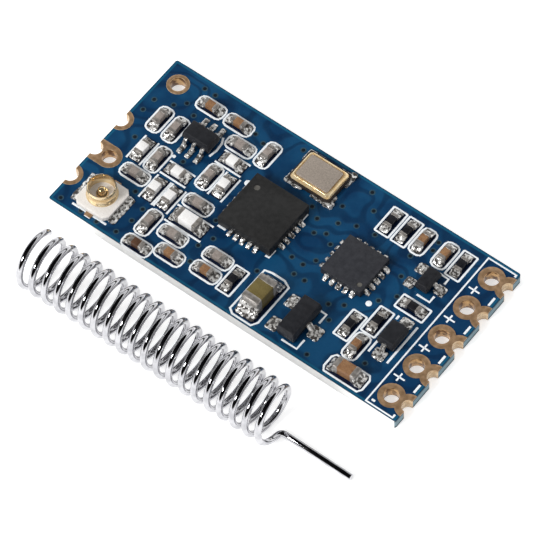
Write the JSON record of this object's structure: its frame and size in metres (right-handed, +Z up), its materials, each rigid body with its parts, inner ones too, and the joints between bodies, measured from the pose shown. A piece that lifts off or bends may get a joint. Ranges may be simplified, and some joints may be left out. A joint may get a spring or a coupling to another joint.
{
  "type": "wireless serial module",
  "caption": "Two-sided circuit board with a radio chip, controller, crystal, coaxial socket and edge pin holes, with its loose spring antenna beside it.",
  "frame": {"origin": "middle of the board's underside", "axes": "+X along the board towards its row of pin holes, +Y across it away from the spring antenna, +Z up out of its component side"},
  "size_m": [0.0266, 0.0192, 0.004],
  "materials": {
    "solder_mask": "satin",
    "gold_plating": "matte",
    "socket_housing": "matte",
    "socket_metal": "polished",
    "solder": "bright",
    "moulding": "matte",
    "crystal_ceramic": "matte",
    "crystal_metal": "satin",
    "capacitor_ceramic": "satin",
    "inductor_ceramic": "satin",
    "resistor_glaze": "satin",
    "reservoir_ceramic": "satin",
    "spring_wire": "polished"
  },
  "bodies": {
    "root": {"antenna_eyelet": "gold_plating", "capacitor_1": "capacitor_ceramic", "capacitor_10": "capacitor_ceramic", "capacitor_11": "capacitor_ceramic", "capacitor_12": "capacitor_ceramic", "capacitor_13": "capacitor_ceramic", "capacitor_14": "capacitor_ceramic", "capacitor_15": "capacitor_ceramic", "capacitor_16": "capacitor_ceramic", "capacitor_17": "capacitor_ceramic", "capacitor_18": "capacitor_ceramic", "capacitor_19": "capacitor_ceramic", "capacitor_2": "capacitor_ceramic", "capacitor_3": "capacitor_ceramic", "capacitor_4": "capacitor_ceramic", "capacitor_5": "capacitor_ceramic", "capacitor_6": "capacitor_ceramic", "capacitor_7": "capacitor_ceramic", "capacitor_8": "capacitor_ceramic", "capacitor_9": "capacitor_ceramic", "circuit_board": "solder_mask", "controller_chip": "moulding", "controller_chip_lands": "solder", "crystal_base": "crystal_ceramic", "crystal_lid": "crystal_metal", "crystal_pads": "solder", "diode": "moulding", "diode_leads": "solder", "feed_pad": "gold_plating", "header_pads": "gold_plating", "inductor_1": "inductor_ceramic", "inductor_2": "inductor_ceramic", "inductor_3": "inductor_ceramic", "inductor_4": "inductor_ceramic", "inductor_5": "inductor_ceramic", "inductor_6": "inductor_ceramic", "long_inductor_1": "inductor_ceramic", "notch_pads": "gold_plating", "radio_chip": "moulding", "radio_chip_lands": "solder", "radio_switch": "moulding", "radio_switch_leads": "solder", "regulator": "moulding", "regulator_leads": "solder", "reservoir_capacitor_1": "reservoir_ceramic", "resistor_1": "resistor_glaze", "resistor_2": "resistor_glaze", "resistor_3": "resistor_glaze", "resistor_4": "resistor_glaze", "resistor_5": "resistor_glaze", "resistor_6": "resistor_glaze", "resistor_7": "resistor_glaze", "socket_contact": "socket_metal", "socket_ground_tabs": "solder", "socket_housing": "socket_housing", "socket_shell": "socket_metal", "spring_antenna": "spring_wire", "supply_capacitor_1": "capacitor_ceramic", "transistor": "moulding", "transistor_leads": "solder"}
  },
  "joints": []
}
